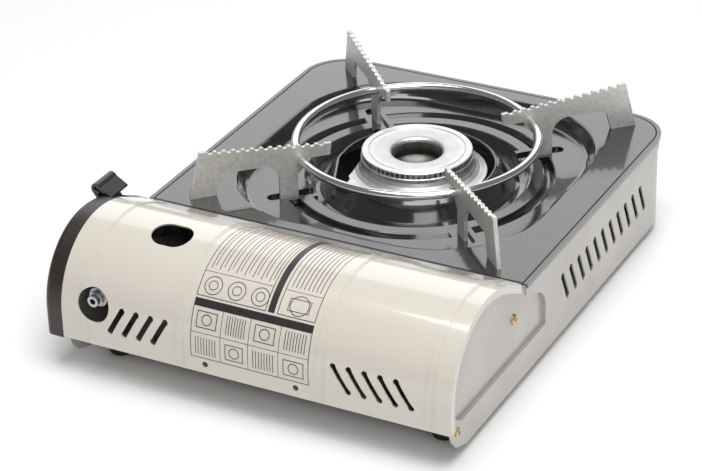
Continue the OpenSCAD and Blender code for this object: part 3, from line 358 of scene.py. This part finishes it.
class Print:
    """Flat ink laid on the cover as very thin closed slabs, gathered into one mesh.

    Points are (s, y): arc length along the cover's profile, and y along the cover, in mm.
    """

    def __init__(self):
        self.v = []
        self.f = []

    def quad_strip(self, pts_a, pts_b):
        base = len(self.v)
        for (sa, ya), (sb, yb) in zip(pts_a, pts_b):
            for lift in (INK_TOP, INK_BOTTOM):
                for s, y in ((sa, ya), (sb, yb)):
                    x, z = profile(s, lift)
                    self.v.append(P(x, y, z))
        last = base + 4 * (len(pts_a) - 1)
        for a in range(base, last, 4):
            self.f += slab_faces(a, a + 4)
        self.f += [(base, base + 2, base + 3, base + 1), (last, last + 1, last + 3, last + 2)]

    def line(self, pts, w, closed=False):
        """A line of width w through the points, cut fine enough to follow the curve."""
        fine = []
        for (s0, y0), (s1, y1) in zip(pts, pts[1:] + ([pts[0]] if closed else [])):
            n = int(abs(s1 - s0) / LINE_STEP) + 1
            fine += [(s0 + (s1 - s0) * k / n, y0 + (y1 - y0) * k / n) for k in range(n)]
        fine.append(pts[0] if closed else pts[-1])
        left, right = [], []
        m = len(fine)
        for i, (s, y) in enumerate(fine):
            if closed:
                p, q = fine[(i - 1) % (m - 1)], fine[(i + 1) % (m - 1)]
            else:
                p, q = fine[max(i - 1, 0)], fine[min(i + 1, m - 1)]
            ds, dy = q[0] - p[0], q[1] - p[1]
            d = math.hypot(ds, dy)
            nx, ny = -dy / d * w / 2, ds / d * w / 2
            left.append((s + nx, y + ny))
            right.append((s - nx, y - ny))
        self.quad_strip(left, right)

    def rect(self, s0, s1, y0, y1):
        n = max(1, int((s1 - s0) / RECT_STEP))
        ss = [s0 + (s1 - s0) * k / n for k in range(n + 1)]
        self.quad_strip([(s, y0) for s in ss], [(s, y1) for s in ss])

    def frame(self, s0, s1, y0, y1, w):
        self.rect(s0, s1, y0, y0 + w)
        self.rect(s0, s1, y1 - w, y1)
        self.rect(s0, s0 + w, y0 + w, y1 - w)
        self.rect(s1 - w, s1, y0 + w, y1 - w)

    def ring(self, sc, yc, r, w):
        angles = [2 * math.pi * i / RING_SIDES for i in range(RING_SIDES)]
        self.line([(sc + r * math.cos(a), yc + r * math.sin(a)) for a in angles], w, True)

    def hatch(self, s0, s1, y0, y1, n, w):
        for i in range(n):
            y = y0 + (y1 - y0) * (i + 0.5) / n
            self.line([(s0, y), (s1, y)], w)


# ends of the graphic and of its parts along the cover: the whole of it, the dividing lines
# of its lower half, then the left box, the stripe and the right box of its upper half
PRINT_Y0, PRINT_Y1 = -40.5, 38.0
COLUMN_Y = (-20.5, -2.0, 18.0)
LEFT_Y = (PRINT_Y0, 5.6)
STRIPE_Y = (7.0, 11.2)
RIGHT_Y = (13.0, PRINT_Y1)
# arc lengths: lower edge, foot and head of the dark band, upper edge
S_LOW, S_BAND0, S_BAND1 = s_at_height(28.6), s_at_height(60.2), s_at_height(62.4)
S_TOP = s_at_x(136)
S_MID = (S_LOW + S_BAND0) / 2
# extent of the dark band, the lower frame and its dividing lines, and the upper boxes
BAND_S = (S_BAND0 - 0.6, S_BAND1 + 1.2)
LOWER_S = (S_LOW, S_BAND0 - 0.5)
COLUMN_S = (S_LOW + 0.4, S_BAND0 - 0.4)
UPPER_S = (S_BAND1 + 2.6, S_TOP)
# upper half: the row of rings, and the rule above that row
S_RINGS, S_RULE = S_BAND1 + 10, S_BAND1 + 18
FRAME_W = 0.45
HALF_RULE = 0.15

# a cell of the lower half holds a hatch, or a small frame with a ring; insets are from the
# cell's lower edge, upper edge and sides
HATCH_INSET, HATCH_LINES, HATCH_W = (2.4, 2.6, 2.5), 8, 0.5
CELL_FRAME_INSET, CELL_FRAME_W = (3, 3.2, 3.2), 0.55
CELL_RING_R, CELL_RING_W = 3.2, 0.6
# left box: three double rings, and eight pairs of a long and a short line; a line is given
# by its distance from the rule, its distance from the upper edge, and its width
DOUBLE_RING_Y = (-31.5, -15.9, -0.3)
DOUBLE_RING = ((5.6, 0.55), (2.8, 0.5))
PAIRS, PAIR_START, PAIR_PITCH, PAIR_GAP = 8, 3.2, 5.5, 2.2
LONG_LINE = (2.5, 2.5, 0.5)
SHORT_LINE = (4.5, 6.5, 0.45)
# right box: its hatch over the rule, and a ring in a frame below it
RIGHT_HATCH_Y = (15, 36)
BADGE_Y, BADGE_FRAME_Y, BADGE_FRAME_HALF = 25.5, (18.5, 32.5), 4
BADGE_FRAME_W, BADGE_R, BADGE_RING_W = 0.5, 6.0, 0.55


def inset(s0, s1, y0, y1, low, high, side):
    return s0 + low, s1 - high, y0 + side, y1 - side


def ruling():
    """The graphic's dark bars, box outlines and dividing lines."""
    ink = Print()
    ink.rect(*BAND_S, PRINT_Y0, PRINT_Y1)
    ink.frame(*LOWER_S, PRINT_Y0, PRINT_Y1, FRAME_W)
    ink.rect(*UPPER_S, *STRIPE_Y)
    ink.frame(*UPPER_S, *LEFT_Y, FRAME_W)
    ink.frame(*UPPER_S, *RIGHT_Y, FRAME_W)
    for y in COLUMN_Y:
        ink.rect(*COLUMN_S, y - HALF_RULE, y + HALF_RULE)
    ink.rect(S_MID - HALF_RULE, S_MID + HALF_RULE, PRINT_Y0, PRINT_Y1)
    for box in (LEFT_Y, RIGHT_Y):
        ink.rect(S_RULE, S_RULE + 2 * HALF_RULE, *box)
    return ink


def hatching():
    """The graphic's grey rings, small frames and rows of lines."""
    ink = Print()
    edges = (PRINT_Y0, *COLUMN_Y, PRINT_Y1)
    for i, (a, b) in enumerate(zip(edges, edges[1:])):
        for j, (lo, hi) in enumerate(((S_LOW, S_MID), (S_MID, S_BAND0))):
            if (i + j) % 2 == 0:
                ink.hatch(*inset(lo, hi, a, b, *HATCH_INSET), HATCH_LINES, HATCH_W)
            else:
                ink.frame(*inset(lo, hi, a, b, *CELL_FRAME_INSET), CELL_FRAME_W)
                ink.ring((lo + hi) / 2, (a + b) / 2, CELL_RING_R, CELL_RING_W)
    for y in DOUBLE_RING_Y:
        for r, w in DOUBLE_RING:
            ink.ring(S_RINGS, y, r, w)
    for k in range(PAIRS):
        first = PRINT_Y0 + PAIR_START + k * PAIR_PITCH
        for y, (low, high, w) in ((first, LONG_LINE), (first + PAIR_GAP, SHORT_LINE)):
            ink.line([(S_RULE + low, y), (S_TOP - high, y)], w)
    low, high, w = LONG_LINE
    ink.hatch(S_RULE + low, S_TOP - high, *RIGHT_HATCH_Y, HATCH_LINES, w)
    ink.ring(S_RINGS, BADGE_Y, BADGE_R, BADGE_RING_W)
    ink.frame(S_RINGS - BADGE_FRAME_HALF, S_RINGS + BADGE_FRAME_HALF, *BADGE_FRAME_Y,
              BADGE_FRAME_W)
    return ink


def make_print(M):
    """Plain ruled graphic where the real cover has its printed panel: bars, boxes and lines."""
    dark, grey = ruling(), hatching()
    add_mesh("panel_ruling", dark.v, dark.f, M["print"], "cover", False)
    add_mesh("panel_hatching", grey.v, grey.f, M["print_grey"], "cover", False)


# ---------------------------------------------------------------- trim and painted shade
# the crease's path round the plate in mm: left, right, front, back, corner radius, height
CREASE_X0, CREASE_X1, CREASE_Y0, CREASE_Y1 = -117.5, 114.7, -127.0, 125.4
CREASE_R, PLATE_TOP = 26.8, 63.2
CREASE_HALF_W, CREASE_RISE, CREASE_SINK = 0.5, 0.035, 0.03
CORNER_STEPS = 12


def make_crease_shade(M):
    """Painted shade: a thin near-black strip laid in the crease that runs round the plate just
    inside its edge, standing in for the shade in that crease.
    """
    path = [(CREASE_X1, CREASE_Y0), (CREASE_X1, CREASE_Y1)]
    cx = CREASE_X0 + CREASE_R
    for cy, start in ((CREASE_Y1 - CREASE_R, 90), (CREASE_Y0 + CREASE_R, 180)):
        for k in range(CORNER_STEPS + 1):
            a = math.radians(start + 90 * k / CORNER_STEPS)
            path.append((cx + CREASE_R * math.cos(a), cy + CREASE_R * math.sin(a)))
    n = len(path)
    verts, faces = [], []
    for i, (x, y) in enumerate(path):
        px, py = path[i - 1]
        qx, qy = path[(i + 1) % n]
        a0 = math.atan2(y - py, x - px)
        a1 = math.atan2(qy - y, qx - x)
        turn = (a1 - a0 + math.pi) % (2 * math.pi) - math.pi
        middle = a0 + turn / 2
        half = CREASE_HALF_W / math.cos(turn / 2)
        nx, ny = -math.sin(middle) * half, math.cos(middle) * half
        for z in (PLATE_TOP + CREASE_RISE, PLATE_TOP - CREASE_SINK):
            verts += [P(x + nx, y + ny, z), P(x - nx, y - ny, z)]
        faces += slab_faces(4 * i, 4 * ((i + 1) % n))
    add_mesh("plate_crease_shade", verts, faces, M["seam"], "base", False)


# the rivets' places along the cover, their height, and their outline from the middle of
# the head outwards, as radius and depth behind the cover's face
RIVET_Y, RIVET_Z = (-31.2, 29.2), 24.5
RIVET_OUTLINE = [(0.7, -0.03), (1.25, -0.14), (1.6, -0.34), (1.75, -0.6), (1.75, -0.95)]
RIVET_SIDES = 24


def make_rivets(M):
    """Two small domed rivets in the round holes near the cover's lower edge."""
    face = BX + R1
    n = RIVET_SIDES
    for k, y in enumerate(RIVET_Y):
        verts = [P(face, y, RIVET_Z)]
        for r, dx in RIVET_OUTLINE:
            for i in range(n):
                a = 2 * math.pi * i / n
                verts.append(P(face + dx, y + r * math.cos(a), RIVET_Z + r * math.sin(a)))
        faces = [(0, 1 + i, 1 + (i + 1) % n) for i in range(n)]
        last = 1 + (len(RIVET_OUTLINE) - 1) * n
        for a in range(1, last, n):
            faces += [(a + i, a + n + i, a + n + (i + 1) % n, a + (i + 1) % n) for i in range(n)]
        faces.append(tuple(last + i for i in range(n)))
        add_mesh("cover_rivet_%d" % (k + 1), verts, faces, M["rivet"], "cover", True)


# ---------------------------------------------------------------- stage
FLOOR_HALF = 4
FLOOR_DARK, FLOOR_LIGHT = (0.86, 0.86, 0.86), (0.88, 0.88, 0.88)
FLOOR_MOTTLE, FLOOR_ROUGHNESS = 3, 0.6
WORLD_STRENGTH = 0.22
# name, place, target, width and height in metres, watts, colour: the overhead box, the box
# that the dark enamel mirrors, and a soft front light
LIGHTS = [
    ("key", (0.25, 0.25, 1.5), (0, 0, 0.05), (1.2, 1.2), 24, (1, 1, 1)),
    ("far", (-1.59, -0.82, 1.10), (-0.05, 0.0, 0.07), (2.4, 1.5), 16, (0.95, 0.98, 1.0)),
    ("front", (1.5, 1.3, 1.3), (0.05, 0, 0.05), (1.2, 1.0), 11, (1, 1, 1)),
]


def make_stage():
    m, nt, b = new_material("floor")
    mottle = noise(nt, FLOOR_MOTTLE, detail=2, rough=0.5)
    colour = ramp(nt, mottle, 0.0, 1.0, FLOOR_DARK, FLOOR_LIGHT)
    nt.links.new(colour, b.inputs["Base Color"])
    b.inputs["Roughness"].default_value = FLOOR_ROUGHNESS
    h = FLOOR_HALF
    me = bpy.data.meshes.new("floor")
    me.from_pydata([(-h, -h, 0), (h, -h, 0), (h, h, 0), (-h, h, 0)], [], [(0, 1, 2, 3)])
    me.materials.append(m)
    o = add_object("floor", me)


def make_lights():
    bpy.context.scene.view_settings.view_transform = "Standard"
    w = bpy.data.worlds.new("world")
    bpy.context.scene.world = w
    w.use_nodes = True
    background = w.node_tree.nodes["Background"]
    background.inputs[0].default_value = (1.0, 1.0, 1.0, 1)
    background.inputs[1].default_value = WORLD_STRENGTH
    for name, place, target, size, watts, colour in LIGHTS:
        d = bpy.data.lights.new(name, "AREA")
        d.shape = "RECTANGLE"
        d.size, d.size_y = size
        d.energy = watts
        d.color = colour
        o = add_object(name, d)
        o.location = place
        look = Vector(target) - Vector(place)
        o.rotation_euler = look.to_track_quat("-Z", "Y").to_euler()


def main():
    make_camera()
    M = make_materials()
    dress_nodes(M)
    make_print(M)
    make_crease_shade(M)
    make_rivets(M)
    make_stage()
    make_lights()


main()
bpy.context.view_layer.update()
